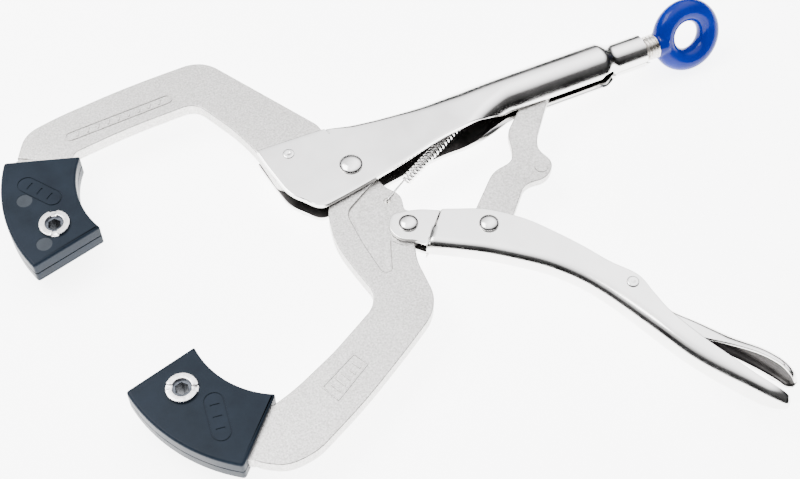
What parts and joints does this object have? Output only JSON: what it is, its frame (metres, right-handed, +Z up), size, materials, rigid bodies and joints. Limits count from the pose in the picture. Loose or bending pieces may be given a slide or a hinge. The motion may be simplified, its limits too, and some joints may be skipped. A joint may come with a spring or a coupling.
{
  "type": "locking pliers",
  "caption": "Locking C-clamp pliers: deep C-shaped jaws with bolted plastic clamping pads, toggle link, release lever and an adjusting screw with a dipped eye.",
  "frame": {"origin": "under the middle of the object's box, at the height of its lowest point, lying on its side", "axes": "+X towards the adjusting screw's eye along the screw axis, +Y from the lever handle towards the upper handle, +Z up out of the plane of the jaws"},
  "size_m": [0.2898, 0.2268, 0.0223],
  "materials": {
    "handle_plate": "polished nickel plate",
    "jaw_plate": "satin nickel plate, fine blasted",
    "rivet": "polished nickel plate",
    "screw_steel": "nickel plated thread",
    "blue_vinyl": "dipped vinyl, glossy",
    "spring_steel": "bright drawn wire",
    "pad_plastic": "moulded nylon, satin",
    "black_oxide": "black oxide"
  },
  "bodies": {
    "handle": {"upper_handle": "handle_plate", "fixed_jaw": "jaw_plate", "fixed_jaw_rivet": "rivet", "jaw_pivot_rivet": "rivet", "fixed_pad_front_shell": "pad_plastic", "fixed_pad_back_shell": "pad_plastic", "fixed_pad_sleeve_nut": "rivet", "fixed_pad_bolt": "black_oxide"},
    "moving_jaw": {"moving_jaw": "jaw_plate", "moving_pad_front_shell": "pad_plastic", "moving_pad_back_shell": "pad_plastic", "moving_pad_sleeve_nut": "rivet", "moving_pad_bolt": "black_oxide", "return_spring": "spring_steel"},
    "lever": {"lever_handle": "handle_plate", "lever_pivot_rivet": "rivet", "link_pivot_rivet": "rivet", "release_lever_rivet": "rivet"},
    "link": {"toggle_link": "jaw_plate"},
    "release_lever": {"release_lever": "handle_plate"},
    "screw_carriage": {"screw_nose": "screw_steel"},
    "adjuster": {"adjusting_screw": "screw_steel", "eye_coating": "blue_vinyl"}
  },
  "joints": [
    {"name": "jaw_pivot", "type": "hinge", "parent": "handle", "child": "moving_jaw", "pos_m": [-0.01936, 0.03944, 0.01113], "axis": [0, 0, -1], "range_deg": [0, 28], "stiffness_Nm_per_rad": 0.25, "springref_deg": -28.65, "deforming": ["return_spring"]},
    {"name": "lever_pivot", "type": "hinge", "parent": "moving_jaw", "child": "lever", "pos_m": [-0.01046, 0.00694, 0.01113], "axis": [0, 0, 1], "range_deg": [0, 58.6]},
    {"name": "link_pivot", "type": "hinge", "parent": "lever", "child": "link", "pos_m": [0.01604, -0.00596, 0.01113], "axis": [0, 0, -1], "range_deg": [0, 46]},
    {"name": "release_pivot", "type": "hinge", "parent": "lever", "child": "release_lever", "pos_m": [0.05134, -0.04986, 0.01113], "axis": [0, 0, -1], "range_deg": [0, 4]},
    {"name": "screw_slide", "type": "slide", "parent": "handle", "child": "screw_carriage", "axis": [1, 0, 0], "range_m": [0, 0.0121]},
    {"name": "screw_turn", "type": "hinge", "parent": "screw_carriage", "child": "adjuster", "pos_m": [0.13164, 0.04754, 0.01113], "axis": [1, 0, 0], "range_deg": [0, 2880]}
  ],
  "couplings": [
    {"joint": "lever_pivot", "follows": "jaw_pivot", "ratio": 2.0857},
    {"joint": "link_pivot", "follows": "jaw_pivot", "ratio": 1.6321},
    {"joint": "screw_slide", "follows": "screw_turn", "m_per_rad": 0.00023873}
  ]
}
